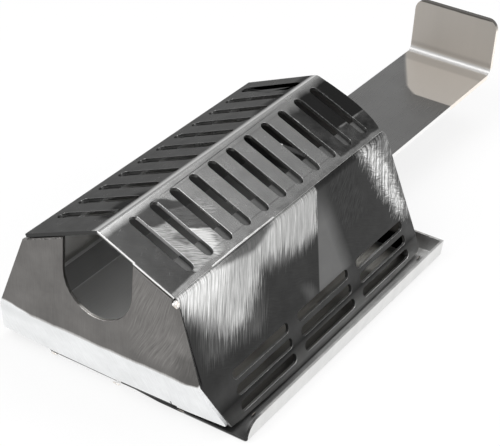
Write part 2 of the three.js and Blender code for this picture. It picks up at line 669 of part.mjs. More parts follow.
// The whole is moved along X, so that its middle stands on the origin
const box = new THREE.Box3().setFromObject(group);
for (const mesh of group.children) {
  mesh.geometry.translate(-(box.min.x + box.max.x) / 2, 0, 0);
}

export default group;
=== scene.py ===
"""Looks of the smoker chip tray: eased sheet edges, brushed steel with light and shade partly painted
into its colour, weld beads and the stage.
"""

import math
from functools import reduce
from typing import NamedTuple

import bpy
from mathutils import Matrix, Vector


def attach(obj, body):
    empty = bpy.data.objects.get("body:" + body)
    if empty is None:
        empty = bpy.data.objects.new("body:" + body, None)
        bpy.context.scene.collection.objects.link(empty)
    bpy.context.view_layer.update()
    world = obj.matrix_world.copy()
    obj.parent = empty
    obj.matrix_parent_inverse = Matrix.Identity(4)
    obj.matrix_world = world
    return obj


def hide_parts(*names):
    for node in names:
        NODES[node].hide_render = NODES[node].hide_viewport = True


bl_info = {
    "name": "Smoker Chip Tray",
    "version": (1, 0, 0),
    "blender": (4, 5, 0),
    "location": "3D View > Sidebar > Chip Tray",
    "description": "Dresses the smoker chip tray in brushed steel and sets its stage",
    "category": "Object",
}

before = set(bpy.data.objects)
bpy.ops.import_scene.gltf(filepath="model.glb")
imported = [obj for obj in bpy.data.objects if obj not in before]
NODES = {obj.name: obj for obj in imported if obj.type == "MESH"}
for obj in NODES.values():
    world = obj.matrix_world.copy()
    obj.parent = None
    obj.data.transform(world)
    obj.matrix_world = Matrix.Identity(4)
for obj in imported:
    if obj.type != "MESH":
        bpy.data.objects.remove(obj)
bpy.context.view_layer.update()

# The frame is in metres about the part's middle. Places on the sheets are in millimetres, and their
# lengths along the part start at the hood's near end.
MM = 0.001
NEAR_END = 188.969 * MM
RIDGE = 98.1
EAVE = 78.8
EAVE_HALF = 45.0
BEND = 32.3
FOOT_HALF = 72.0
FOOT = 1.8
ROOF_SLOT_START = 20.8
ROOF_SLOT_PITCH = 16.6
ROOF_SLOT_HALF = 3.2

FAR, LEFT, UP = (1, 0, 0), (0, 1, 0), (0, 0, 1)
NEAR, RIGHT, DOWN = (-1, 0, 0), (0, -1, 0), (0, 0, -1)

BUMP_DISTANCE = 0.02 * MM
MERGE_DISTANCE = 0.01 * MM
FLAT_ANGLE = math.radians(0.5)
BEVEL_ANGLE = math.radians(45)
WELD_VOXEL = 0.28 * MM
EAVE_WELD = "eave_weld_right"
BRIGHT_WELDS = (EAVE_WELD, "near_floor_tack_2", "near_floor_tack_3")

FLOOR_SIZE = 12
FLOOR_DROP = 0.2 * MM
FLOOR_GLOW = 0.8
LAMP_AIM = Vector((0, 0, 0.04))
CAMERA_TURN = math.radians(-148.31)
CAMERA_RISE = math.radians(32.58)
CAMERA_ROLL = math.radians(2.72)
CAMERA_PLACE = (-506.5 * MM - NEAR_END, -396.7 * MM, 515.0 * MM)
SENSOR_WIDTH = 36.0

FLOAT = "NodeSocketFloat"
VECTOR = "NodeSocketVector"

# Filled by build_materials before the pieces are dressed
MATERIALS = {}


def colour(name, description, default):
    """A colour setting"""
    return bpy.props.FloatVectorProperty(
        name=name, description=description, default=default, size=3, min=0, max=1, subtype="COLOR")


class ChipTrayEdges(bpy.types.PropertyGroup):
    """How far the cut edges of the sheets are eased, and how rough the weld metal is"""
    width: bpy.props.FloatProperty(
        name="Edge Width", description="Width of the worn strip along each cut edge",
        default=0.00022, min=0.0, max=0.001, unit="LENGTH")
    smooth_angle: bpy.props.FloatProperty(
        name="Smooth Angle", description="Faces that meet under this angle are shaded as one",
        default=math.radians(40), subtype="ANGLE")
    weld_sag: bpy.props.FloatProperty(
        name="Weld Sag", description="Depth of the hollows between the ripples of a weld",
        default=0.0004, min=0.0, max=0.002, unit="LENGTH")
    weld_ripple: bpy.props.FloatProperty(
        name="Weld Ripple", description="Size of the ripples of a weld",
        default=0.0016, min=0.0002, max=0.01, unit="LENGTH")


class ChipTraySteel(bpy.types.PropertyGroup):
    """Tints of the sheets and the welds"""
    hood_tint: colour(
        "Hood Tint", "Tint of the roof, the walls, the pan and the open tray", (1.0, 1.0, 0.99))
    floor_tint: colour("Floor Tint", "Tint of the tray's floor under the hood", (1.0, 0.97, 0.9))
    plate_tint: colour("Plate Tint", "Tint of the two end plates", (1.0, 0.965, 0.93))
    band_tint: colour("Band Tint", "Tint of the near plate below its fold", (0.985, 0.995, 1.0))
    # The handle's bright end is a painted reflection of its tab; this tint warms it and the tab.
    handle_tint: colour(
        "Handle Tint", "Tint of the handle's bright end and of its tab", (1.0, 0.93, 0.85))
    weld_tint: colour("Weld Tint", "Heat tint in the weld metal", (1.0, 0.78, 0.56))


class ChipTrayStage(bpy.types.PropertyGroup):
    """Floor, lamps, sky and camera"""
    floor_colour: colour("Floor Colour", "Colour of the floor", (0.86, 0.86, 0.86))
    key_power: bpy.props.FloatProperty(
        name="Key Power", description="Power of the large lamp over the near left side",
        default=9.0, min=0, unit="POWER")
    fill_power: bpy.props.FloatProperty(
        name="Fill Power", description="Power of the lamp on the right side",
        default=5.0, min=0, unit="POWER")
    sky: bpy.props.FloatProperty(
        name="Sky Level", description="Level of the light that comes from high up",
        default=0.62, min=0, max=2)
    focal_length: bpy.props.FloatProperty(
        name="Focal Length", description="Focal length of the camera in millimetres",
        default=116.8, min=10, max=300)


def new_node(tree, kind, **values):
    """A node with its properties set by name"""
    node = tree.nodes.new(kind)
    for name, value in values.items():
        setattr(node, name, value)
    return node


def feed(tree, socket, value):
    """A link where the value is a socket, and a plain value where it isn't"""
    if isinstance(value, bpy.types.NodeSocket):
        tree.links.new(value, socket)
    else:
        socket.default_value = value


def maths(tree, operation, a, b=0.0, c=0.0, clamp=False):
    """The result of a Math node"""
    node = new_node(tree, "ShaderNodeMath", operation=operation, use_clamp=clamp)
    for socket, value in zip(node.inputs, (a, b, c)):
        feed(tree, socket, value)
    return node.outputs[0]


def vector_maths(tree, operation, a, b):
    """The result of a Vector Math node. b is a number where the operation is SCALE."""
    node = new_node(tree, "ShaderNodeVectorMath", operation=operation)
    feed(tree, node.inputs[0], a)
    feed(tree, node.inputs[3 if operation == "SCALE" else 1], b)
    return node.outputs["Value" if operation == "DOT_PRODUCT" else "Vector"]


def combine(tree, *values):
    """A vector made of single values"""
    node = new_node(tree, "ShaderNodeCombineXYZ")
    for socket, value in zip(node.inputs, values):
        feed(tree, socket, value)
    return node.outputs[0]


def separate(tree, vector):
    """The x, y and z of a vector"""
    node = new_node(tree, "ShaderNodeSeparateXYZ")
    feed(tree, node.inputs[0], vector)
    return node.outputs


def blend_values(tree, share, a, b):
    """a where the share is 0 and b where it is 1"""
    node = new_node(tree, "ShaderNodeMix", data_type="FLOAT")
    feed(tree, node.inputs[0], share)
    feed(tree, node.inputs[2], a)
    feed(tree, node.inputs[3], b)
    return node.outputs[0]


def blend_tints(tree, share, a, b):
    """The plain tint a where the share is 0 and the plain tint b where it is 1"""
    node = new_node(tree, "ShaderNodeMix", data_type="RGBA")
    feed(tree, node.inputs[0], share)
    feed(tree, node.inputs[6], (*a, 1.0))
    feed(tree, node.inputs[7], (*b, 1.0))
    return node.outputs[2]


def noise_node(tree, vector, scale, detail, roughness=0.5):
    node = new_node(tree, "ShaderNodeTexNoise")
    feed(tree, node.inputs["Vector"], vector)
    feed(tree, node.inputs["Scale"], scale)
    feed(tree, node.inputs["Detail"], detail)
    feed(tree, node.inputs["Roughness"], roughness)
    return node


def noise(tree, vector, scale=1.0, detail=2.0, roughness=0.5):
    """Smooth random values about 0.5"""
    return noise_node(tree, vector, scale, detail, roughness).outputs["Fac"]


def own_place(tree):
    """The place on the object, in metres"""
    return new_node(tree, "ShaderNodeTexCoord").outputs["Object"]


def new_group(name, inputs, outputs):
    """A shader node group with named sockets, and its two ends"""
    group = bpy.data.node_groups.new(name, "ShaderNodeTree")
    for title, kind, default in inputs:
        socket = group.interface.new_socket(title, in_out="INPUT", socket_type=kind)
        socket.default_value = default
    for title, kind in outputs:
        group.interface.new_socket(title, in_out="OUTPUT", socket_type=kind)
    return group, group.nodes.new("NodeGroupInput"), group.nodes.new("NodeGroupOutput")


def use_group(tree, name, **values):
    """One of the shared effects placed in a material, its inputs set by name"""
    node = new_node(tree, "ShaderNodeGroup", node_tree=bpy.data.node_groups[name])
    for title, value in values.items():
        feed(tree, node.inputs[title], value)
    return node


def build_sheet_plane():
    """Lengths u along and v down a flat sheet, in millimetres"""
    group, start, end = new_group(
        "Sheet Plane",
        [("Corner", VECTOR, (0, 0, 0)), ("Along", VECTOR, FAR), ("Down", VECTOR, DOWN)],
        [("Place", VECTOR)])
    offset = vector_maths(group, "SUBTRACT", own_place(group), start.outputs["Corner"])
    along = vector_maths(group, "DOT_PRODUCT", offset, start.outputs["Along"])
    down = vector_maths(group, "DOT_PRODUCT", offset, start.outputs["Down"])
    place = combine(group, maths(group, "MULTIPLY", along, 1.0 / MM),
                    maths(group, "MULTIPLY", down, 1.0 / MM))
    feed(group, end.inputs["Place"], place)


def build_brush_lines():
    """Fine parallel scratches at an angle, from 0 to 1, and a coarser set to vary their strength"""
    group, start, end = new_group(
        "Brush Lines",
        [("Place", VECTOR, (0, 0, 0)), ("Angle", FLOAT, 0.0), ("Length", FLOAT, 14.0),
         ("Width", FLOAT, 0.7), ("Seed", FLOAT, 0.0)],
        [("Fine", FLOAT), ("Coarse", FLOAT)])
    turn = new_node(group, "ShaderNodeVectorRotate", rotation_type="Z_AXIS")
    feed(group, turn.inputs["Vector"], start.outputs["Place"])
    feed(group, turn.inputs["Angle"], maths(group, "MULTIPLY", start.outputs["Angle"], -1.0))
    parts = separate(group, turn.outputs[0])

    def stretched(share):
        length = maths(group, "MULTIPLY", start.outputs["Length"], share)
        width = maths(group, "MULTIPLY", start.outputs["Width"], share)
        return combine(group, maths(group, "DIVIDE", parts[0], length),
                       maths(group, "DIVIDE", parts[1], width), start.outputs["Seed"])

    feed(group, end.inputs["Fine"], noise(group, stretched(1.0), detail=3.0, roughness=0.65))
    feed(group, end.inputs["Coarse"], noise(group, stretched(3.5), detail=2.0))


def build_half_mask():
    """1 on the side of a line that its angle points to, with a soft and ragged edge"""
    group, start, end = new_group(
        "Half Mask",
        [("Place", VECTOR, (0, 0, 0)), ("Through", VECTOR, (0, 0, 0)), ("Angle", FLOAT, 0.0),
         ("Softness", FLOAT, 2.0), ("Ragged", FLOAT, 0.0), ("Lines", FLOAT, 0.5)],
        [("Mask", FLOAT)])
    offset = vector_maths(group, "SUBTRACT", start.outputs["Place"], start.outputs["Through"])
    pointing = combine(group, maths(group, "COSINE", start.outputs["Angle"]),
                       maths(group, "SINE", start.outputs["Angle"]))
    distance = vector_maths(group, "DOT_PRODUCT", offset, pointing)
    tooth = maths(group, "SUBTRACT", start.outputs["Lines"], 0.5)
    tooth = maths(group, "MULTIPLY", tooth, start.outputs["Ragged"])
    distance = maths(group, "ADD", distance, tooth)
    share = maths(group, "DIVIDE", distance, start.outputs["Softness"])
    feed(group, end.inputs["Mask"], maths(group, "ADD", share, 0.5, clamp=True))


def sheet_plane(tree, corner, along, down):
    """The Sheet Plane effect of a sheet, its corner in millimetres from the near end"""
    metres = (corner[0] * MM - NEAR_END, corner[1] * MM, corner[2] * MM)
    node = use_group(tree, "Sheet Plane", Corner=metres, Along=tuple(along), Down=tuple(down))
    return node.outputs["Place"]


def wander(tree, place, size, amount, seed=0.0):
    """The same places, shifted smoothly at random"""
    shifted = vector_maths(tree, "ADD", place, (seed * 31.0, seed * 17.0, seed))
    colour = noise_node(tree, shifted, 1.0 / size, 2.0).outputs["Color"]
    swing = vector_maths(tree, "SUBTRACT", colour, (0.5, 0.5, 0.5))
    return vector_maths(tree, "ADD", place, vector_maths(tree, "SCALE", swing, 2.0 * amount))


def cloudy(tree, place, size, detail=4.0):
    """Soft blotches of about the size given, from 0 to 1"""
    return noise(tree, place, 1.0 / size, detail, 0.6)


def brush_pair(tree, place, angle, length, width, seed=0.0):
    """The fine and the coarse lines of the Brush Lines effect, their angle in degrees from u to v"""
    node = use_group(tree, "Brush Lines", Place=place, Angle=math.radians(angle),
                     Length=length, Width=width, Seed=seed)
    return node.outputs["Fine"], node.outputs["Coarse"]


def brush(tree, place, *stroke):
    """The fine lines alone. stroke is the angle, length, width and seed of brush_pair."""
    return brush_pair(tree, place, *stroke)[0]


def half(tree, place, through, angle, softness, ragged=0.0, lines=0.5):
    """The Half Mask effect. The angle is in degrees, from u to v. Lines make the edge ragged."""
    node = use_group(tree, "Half Mask", Place=place, Through=(through[0], through[1], 0.0),
                     Angle=math.radians(angle), Softness=softness, Ragged=ragged, Lines=lines)
    return node.outputs["Mask"]


def past_u(tree, place, u, *edge):
    """1 where u is over the value. Here and below, edge is the softness, ragged and lines of half."""
    return half(tree, place, (u, 0), 0, *edge)


def short_of_u(tree, place, u, *edge):
    return half(tree, place, (u, 0), 180, *edge)


def past_v(tree, place, v, *edge):
    return half(tree, place, (0, v), 90, *edge)


def short_of_v(tree, place, v, *edge):
    return half(tree, place, (0, v), 270, *edge)


def all_of(tree, *masks):
    """1 where every mask is"""
    return reduce(lambda a, b: maths(tree, "MULTIPLY", a, b), masks)


def any_of(tree, *masks):
    """1 where one of the masks is"""
    return reduce(lambda a, b: maths(tree, "MAXIMUM", a, b), masks)


def patch(tree, place, corners, softness=1.0, ragged=0.0, lines=0.5):
    """A flat patch with straight sides. Its corners run clockwise, seen with v downwards. A third
    value at a corner is the softness of the side that starts there."""
    sides = []
    for corner, following in zip(corners, corners[1:] + corners[:1]):
        angle = math.degrees(math.atan2(following[0] - corner[0], corner[1] - following[1]))
        soft = corner[2] if len(corner) > 2 else softness
        sides.append(half(tree, place, corner, angle, soft, ragged, lines))
    return all_of(tree, *sides)


def strip(tree, place, start, finish, v, width, softness):
    """A straight band along u, from start to finish, its middle at v"""
    top, low = v - width / 2, v + width / 2
    return patch(tree, place, [(start, top), (finish, top), (finish, low), (start, low)], softness)


def facing(tree, direction, from_share=0.5, to_share=0.7):
    """1 on faces that look along a direction, 0 where the cosine between them is under from_share"""
    normal = new_node(tree, "ShaderNodeNewGeometry").outputs["True Normal"]
    share = vector_maths(tree, "DOT_PRODUCT", normal, tuple(direction))
    span = to_share - from_share
    return maths(tree, "MULTIPLY_ADD", share, 1.0 / span, -from_share / span, clamp=True)


def across_sheet(tree, outwards):
    """1 on the cut faces that stand across a sheet"""
    either = maths(tree, "ADD", facing(tree, outwards), facing(tree, -Vector(outwards)))
    return maths(tree, "SUBTRACT", 1.0, either, clamp=True)


def contrast(tree, lines, gain):
    """Lines spread about their middle, kept from 0 to 1"""
    return maths(tree, "MULTIPLY_ADD", lines, gain, 0.5 - 0.5 * gain, clamp=True)


def vary(tree, level, *swings):
    """A level raised and lowered by lines. A swing is the lines, their share of the level and, where
    the lines are spread about their middle first, the gain."""
    for lines, share, *gain in swings:
        if gain:
            lines = contrast(tree, lines, *gain)
        swing = maths(tree, "MULTIPLY_ADD", lines, 2.0 * share, 1.0 - share)
        level = maths(tree, "MULTIPLY", level, swing)
    return level


def dimmed(tree, level, mask, share):
    """A level lowered by a share of itself where the mask is 1"""
    return maths(tree, "MULTIPLY", level, maths(tree, "MULTIPLY_ADD", mask, -share, 1.0))


def layered(tree, level, *coats):
    """A level with coats over it, the last one on top. A coat is its mask, its own level and, where it
    isn't full, its strength."""
    for mask, over, *strength in coats:
        level = blend_values(tree, all_of(tree, mask, *strength), level, over)
    return level


class Finish(NamedTuple):
    """What a steel's shader is fed with. The level scales the tint, and the lines stand up by bump."""
    tint: object
    level: object
    rough: object
    lines: object
    bump: float
    metallic: object = 1.0


def slope_down(side):
    """The direction from the ridge to an eave, on the left for side 1 and on the right for -1"""
    return Vector((0, side * EAVE_HALF, EAVE - RIDGE)).normalized()


def wall_down(side):
    """The direction from an eave to the wall's foot"""
    return Vector((0, side * (FOOT_HALF - EAVE_HALF), FOOT - EAVE)).normalized()


def sheet_outwards(down):
    """The outward direction of a hood sheet, which leans up wherever the sheet runs down"""
    out = Vector(FAR).cross(down)
    return out if out.z > 0 else -out


def wall_finish(tree, side, level, rough, flange_level, inside_level):
    """Cut edges, flange and inside of a wall, whose own face has the level and the roughness given;
    the upward-facing slot sills get a painted highlight
    """
    outwards = sheet_outwards(wall_down(side))
    roof = sheet_plane(tree, (0, 0, RIDGE), FAR, slope_down(side))
    upright = sheet_plane(tree, (0, 0, 0), FAR, UP)
    flange = all_of(tree, facing(tree, sheet_outwards(slope_down(side)), 0.8, 0.9),
                    short_of_v(tree, roof, 46.0, 0.5))
    # Painted highlight on the slot sills, which face up and catch the light.
    highlit_slot_sills = facing(tree, -wall_down(side), 0.75, 0.9)
    inside = facing(tree, -outwards)
    level = layered(
        tree, level,
        (across_sheet(tree, outwards), 0.2),
        (highlit_slot_sills, blend_values(tree, past_u(tree, upright, 136, 8), 0.6, 0.9)),
        (flange, flange_level),
        (inside, inside_level))
    dulled = any_of(tree, inside, flange)
    rough = blend_values(tree, dulled, rough, 0.5)
    return level, rough, maths(tree, "MULTIPLY_ADD", dulled, -0.6, 1.0)


def right_wall_steel(tree, settings):
    """Hand-brushed in sweeps: two bright fans whose brightness is a painted reflection over real
    brushing, the first with a painted highlight, a painted shade under the eave, a plain grey wedge, a
    dark middle, and a scuffed far end with a painted highlight in its core
    """
    place = sheet_plane(tree, (0, -EAVE_HALF, EAVE), FAR, wall_down(-1))
    loose = wander(tree, place, 22.0, 3.0)
    fine, coarse = brush_pair(tree, wander(tree, place, 80.0, 4.0, 2.0), -64, 14, 0.48)
    cross = brush(tree, loose, 24, 9, 0.8, 3.0)
    steep = brush(tree, loose, -42, 6, 0.9, 6.0)
    blotches = cloudy(tree, place, 14.0, 3.0)

    haze = patch(tree, loose, [(2, 14, 8), (68, 12, 8), (56, 46, 6), (8, 41, 10)], 9, 22, fine)
    # The two fans are real brushing lines brightened as painted reflection; a painted highlight lies
    # in the near part of the first.
    first_fan = patch(
        tree, loose,
        [(-6, -1, 1), (80, -1, 3), (70, 13, 9), (45, 37, 6), (34, 38, 12), (0, 9, 9)], 5, 22, fine)
    painted_glare = patch(tree, loose, [(-6, -1), (48, -1), (34, 16), (-6, 14)], 12)
    second_fan = patch(
        tree, wander(tree, place, 40.0, 1.2, 4.0),
        [(62, -1, 1), (127, -1, 0.8), (122, 12, 0.8), (117, 23, 6), (104, 25, 12), (80, 22, 11),
         (62, 16, 5)], 4, 20, fine)
    smudge = patch(tree, loose, [(93, 45), (103, 48), (105, 55), (96, 55)], 5, 7, fine)
    # Painted shade under the roof's eave.
    lens = patch(tree, loose, [(34, 1), (86, 1), (79, 5), (62, 9), (46, 5.5)], 3, 7, fine)
    wedge = patch(tree, place, [(126, 3, 6), (130, 3, 12), (137, 54, 1.5), (107, 54, 0.7)])
    wedge_level = blend_values(tree, past_v(tree, place, 14, 16), 0.07, 0.15)
    turned = patch(tree, loose, [(134, 4), (162, 2), (166, 34), (140, 34)], 8, 10, steep)
    scuffed = patch(
        tree, wander(tree, loose, 7.0, 3.0, 8.0),
        [(169, -1, 3), (212, -1, 1), (212, 62, 2), (194, 53, 3), (180, 28, 5)], 3, 20, steep)
    # Painted highlight in the middle of the scuffed far end.
    core = patch(
        tree, loose, [(172, 1), (186, 1), (196, 24), (202, 47), (195, 51), (184, 26)], 4, 14, cross)
    scuff_level = all_of(
        tree, vary(tree, 0.2, (steep, 0.65, 3.0), (coarse, 0.6, 3.0), (cross, 0.25, 1.6)),
        maths(tree, "MULTIPLY_ADD", core, 1.9, 1.0))
    # Lighter towards the foot, and its lowest strip painted dark as shade where the wall meets the
    # tray.
    foot_level = layered(tree, 0.7, (short_of_u(tree, place, 80, 50), 0.42),
                         (past_v(tree, place, 79.9, 2.4), 0.14))
    near_end = all_of(tree, half(tree, loose, (9, 30), 192, 10), past_v(tree, place, 18, 10))
    seam = all_of(tree, short_of_u(tree, wander(tree, place, 8.0, 0.7, 5.0), 1.3, 0.5),
                  past_v(tree, place, 9, 3), short_of_v(tree, place, 48, 3))

    level = layered(
        tree, vary(tree, 0.034, (cross, 0.35), (blotches, 0.4)),
        (haze, vary(tree, 0.11, (fine, 0.7, 3.0)), 0.75),
        (first_fan, vary(tree, blend_values(tree, painted_glare, 0.52, 0.8), (fine, 0.45, 3.2),
                         (coarse, 0.3, 2.0))),
        (second_fan, vary(tree, 0.5, (fine, 0.42, 3.0), (coarse, 0.3, 2.0))),
        (smudge, 0.12, 0.6),
        (lens, vary(tree, 0.085, (fine, 0.4)), 0.85),
        (wedge, vary(tree, wedge_level, (blotches, 0.12))),
        (turned, vary(tree, 0.036, (steep, 0.55, 3.0)), 0.8),
        (scuffed, scuff_level),
        (past_v(tree, place, 56, 10), vary(tree, 0.062, (blotches, 0.5)), 0.8),
        (past_v(tree, place, 72.4, 7), vary(tree, foot_level, (blotches, 0.2))),
        (near_end, 0.035, 0.8),
        (seam, 0.006))
    rough = blend_values(tree, any_of(tree, first_fan, second_fan),
                         vary(tree, 0.34, (cross, 0.2)), vary(tree, 0.44, (fine, 0.25)))
    flange_level = vary(tree, 0.085, (blotches, 0.5))
    level, rough, metallic = wall_finish(tree, -1, level, rough, flange_level, 0.6)
    return Finish(settings.hood_tint, level, rough, fine, 0.3, metallic)


def left_wall_steel(tree, settings):
    """The same hand brushing in one long sweep, and a pale reflection on the wall's inside"""
    place = sheet_plane(tree, (0, EAVE_HALF, EAVE), FAR, wall_down(1))
    loose = wander(tree, place, 22.0, 3.0, 1.0)
    fine, coarse = brush_pair(tree, wander(tree, place, 60.0, 5.0, 3.0), -58, 11, 0.55, 5.0)
    cross = brush(tree, loose, 20, 9, 0.7, 9.0)
    blotches = cloudy(tree, place, 16.0, 3.0)
    sweep = patch(
        tree, loose,
        [(14, -1, 2), (152, -1, 4), (138, 38, 7), (60, 46, 12), (24, 22, 9)], 5, 16, fine)
    scuffed = patch(tree, wander(tree, loose, 7.0, 3.0, 5.0),
                    [(172, 4, 5), (210, 4, 1), (210, 58, 2), (180, 50, 6)], 4, 12, cross)
    level = layered(
        tree, vary(tree, 0.13, (cross, 0.3), (blotches, 0.35)),
        (sweep, vary(tree, 0.5, (fine, 0.4, 1.7), (coarse, 0.4))),
        (scuffed, vary(tree, 0.34, (cross, 0.55, 2.0))))
    reflection = patch(tree, place, [(30, 16), (56, 30), (70, 46), (50, 47), (36, 40)], 5, 4, fine)
    level, rough, metallic = wall_finish(tree, 1, level, vary(tree, 0.4, (fine, 0.25)), 0.09,
                                         blend_values(tree, reflection, 0.45, 1.0))
    return Finish(settings.hood_tint, level, rough, fine, 0.3, metallic)


def right_slope(tree, place, blotches):
    """The roof's right slope: scratched between the first slots, plain grey, then painted dark at the
    far end as a dark reflection, with painted highlights on the first slot rims, along the ridge and
    along the eave's edge.
    Returned are its level, the lines of its scratches and their mask."""
    loose = wander(tree, place, 12.0, 1.5)
    hatch = brush(tree, loose, 38, 8, 0.62)
    second_hatch = brush(tree, place, 52, 6, 0.7, 5.0)
    island_hatch = brush(tree, place, 30, 10, 0.8, 8.0)

    dark_end = any_of(
        tree, short_of_u(tree, loose, 22, 2.5, 4, hatch),
        patch(tree, loose, [(18, 4), (42, 4), (53, 13), (52, 17), (34, 17), (22, 15)], 1.5, 3, hatch))
    triangle = patch(tree, loose, [(39, 11), (54, 17), (54, 36), (39, 26)], 1.5, 3, hatch)
    scratched = patch(
        tree, loose,
        [(23, 14, 1.2), (34, 21, 1.2), (50, 33, 2), (52, 37, 3), (45, 45.5, 1.5), (21, 45.5)],
        1.5, 4, hatch)
    core = patch(tree, place, [(39, 22), (49, 34), (46, 41), (39, 45)], 3, 6, hatch)
    dull_spot = patch(tree, loose, [(27, 25), (38, 24), (38, 32), (31, 33)], 2.0, 3, hatch)
    scratched_level = layered(
        tree, vary(tree, 0.34, (hatch, 0.55, 3.0), (second_hatch, 0.15, 3.0)),
        (core, vary(tree, 0.6, (hatch, 0.3, 2.5))),
        (dull_spot, vary(tree, 0.12, (hatch, 0.6, 3.0)), 0.8))
    island = patch(tree, loose, [(56, 13), (61, 16), (65, 22), (63, 28), (56, 27)], 1.5, 3, hatch)
    smudge = patch(tree, wander(tree, place, 6.0, 2.0, 3.0),
                   [(157, 9, 5), (175, 8), (175, 36), (157, 36, 1)], 1.5, 5, blotches)
    mottled = patch(tree, loose, [(157, 33), (210, 33), (210, 47), (157, 47)], 1.0, 1.0, blotches)
    # Painted dark reflection at the far end of the slope.
    mirror = patch(tree, wander(tree, place, 25.0, 1.0, 6.0),
                   [(172, 0.5), (210, -1), (210, 33), (172, 32)], 0.8, 0.8, blotches)
    level = layered(
        tree, vary(tree, 0.315, (blotches, 0.08)),
        (dark_end, vary(tree, 0.075, (hatch, 0.35), (blotches, 0.3))),
        (triangle, vary(tree, 0.13, (hatch, 0.45, 2.4))),
        (scratched, scratched_level),
        (island, vary(tree, 0.34, (island_hatch, 0.5, 3.0)), 0.9),
        (smudge, vary(tree, 0.07, (blotches, 0.35, 2.0))),
        (mottled, vary(tree, 0.085, (blotches, 0.5, 2.5))),
        (mirror, 0.034))

    # Painted highlights on the rims of the first three slots.
    for number in range(3):
        side = ROOF_SLOT_START + ROOF_SLOT_PITCH * number + ROOF_SLOT_HALF
        start, finish = side - 0.3, side + 0.2
        rim = patch(tree, place, [(start, 6), (finish, 6), (finish, 42), (start, 42)], 0.25)
        level = layered(tree, level, (rim, 0.75, 0.9))
    for v in (5.6, 42.2):
        level = dimmed(tree, level, strip(tree, place, 40, 156, v, 0.5, 0.6), 0.28)

    # Painted highlights along the ridge, on a thin line at the ridge and as a glint along the eave's
    # edge.
    ridge_highlight_level = blend_values(tree, short_of_u(tree, place, 42, 16), 0.37, 0.43)
    glint = patch(tree, wander(tree, place, 9.0, 0.3, 2.0),
                  [(31, 48.4), (60, 48.0), (86, 48.4), (86, 50), (31, 50)], 0.3, 0.6, blotches)
    level = layered(
        tree, level,
        (short_of_v(tree, loose, 4.2, 4.0, 1.5, blotches),
         vary(tree, ridge_highlight_level, (blotches, 0.12, 2.0))),
        (short_of_v(tree, place, 1.3, 1.6), 0.54),
        (past_v(tree, loose, 46.2, 1.0, 1.0, blotches), vary(tree, 0.29, (blotches, 0.3, 2.0))),
        (glint, 0.95))
    return level, hatch, scratched


def left_slope(tree, place, blotches):
    """The level of the roof's left slope: painted dark as a dark reflection, with a fine grain, and a
    painted highlight along the ridge
    """
    loose = wander(tree, place, 14.0, 2.0, 2.0)
    grain = brush(tree, place, 0, 30, 0.8, 4.0)
    beside_ridge = any_of(tree, patch(tree, loose, [(12, 2), (46, 2), (40, 12), (14, 12)], 4),
                          patch(tree, loose, [(138, 2), (206, 2), (206, 9), (150, 9)], 4))
    return layered(
        tree, vary(tree, 0.11, (blotches, 0.3, 1.6), (grain, 0.25)),
        (beside_ridge, 0.01),
        (short_of_v(tree, place, 2.9, 3.0, 1.0, blotches),
         blend_values(tree, past_u(tree, place, 174, 3), 0.85, 0.98)))


def roof_steel(tree, settings):
    """Smooth sheet with hand scratches, its left slope painted darker as a dark reflection, with
    painted highlights on the eave's cut face and along the near cut edge
    """
    right = sheet_plane(tree, (0, 0, RIDGE), FAR, slope_down(-1))
    left = sheet_plane(tree, (0, 0, RIDGE), FAR, slope_down(1))
    on_left = maths(tree, "MULTIPLY", separate(tree, own_place(tree))[1], 2.0 / MM, clamp=True)
    blotches = cloudy(tree, right, 9.0)
    level, hatch, scratched = right_slope(tree, right, blotches)

    deep_lines = maths(tree, "SUBTRACT", brush(tree, right, -28.65, 9.0, 1.6, 7.0), 0.66)
    scratches = maths(tree, "MULTIPLY", deep_lines, 9.0, clamp=True)
    more_at_end = maths(tree, "MULTIPLY_ADD", short_of_u(tree, right, 24, 4), 0.4, 0.12)

    depth = sheet_plane(tree, (0, 0, RIDGE), slope_down(-1), -sheet_outwards(slope_down(-1)))
    depth = wander(tree, depth, 5.0, 0.2)
    # The near cut edge gets a stepped line of painted highlight.
    stepped_highlight = any_of(tree, patch(tree, depth, [(-3, -1), (24, -1), (24, 1.1), (-3, 1.1)], 0.4),
                          patch(tree, depth, [(23, 0.6), (60, 0.6), (60, 1.9), (23, 1.9)], 0.4))
    near_cut = all_of(tree, facing(tree, NEAR, 0.5, 0.8), short_of_u(tree, right, 0.6, 0.4))
    under = facing(tree, DOWN)
    level = layered(
        tree, level,
        (all_of(tree, scratches, more_at_end), 0.35),
        (on_left, left_slope(tree, left, blotches)),
        (across_sheet(tree, UP), vary(tree, 0.3, (blotches, 0.3))),
        # Painted highlight on the eave's cut face.
        (facing(tree, slope_down(-1), 0.85, 0.95), vary(tree, 0.9, (blotches, 0.4, 2.0))),
        (near_cut, layered(tree, 0.16, (stepped_highlight, 0.95), (on_left, 0.06))),
        (under, 0.8))
    rough = layered(tree, vary(tree, 0.26, (blotches, 0.2)), (scratched, 0.42), (under, 0.5))
    metallic = maths(tree, "MULTIPLY_ADD", under, -0.5, 1.0)
    return Finish(settings.hood_tint, level, rough, hatch, 0.15, metallic)


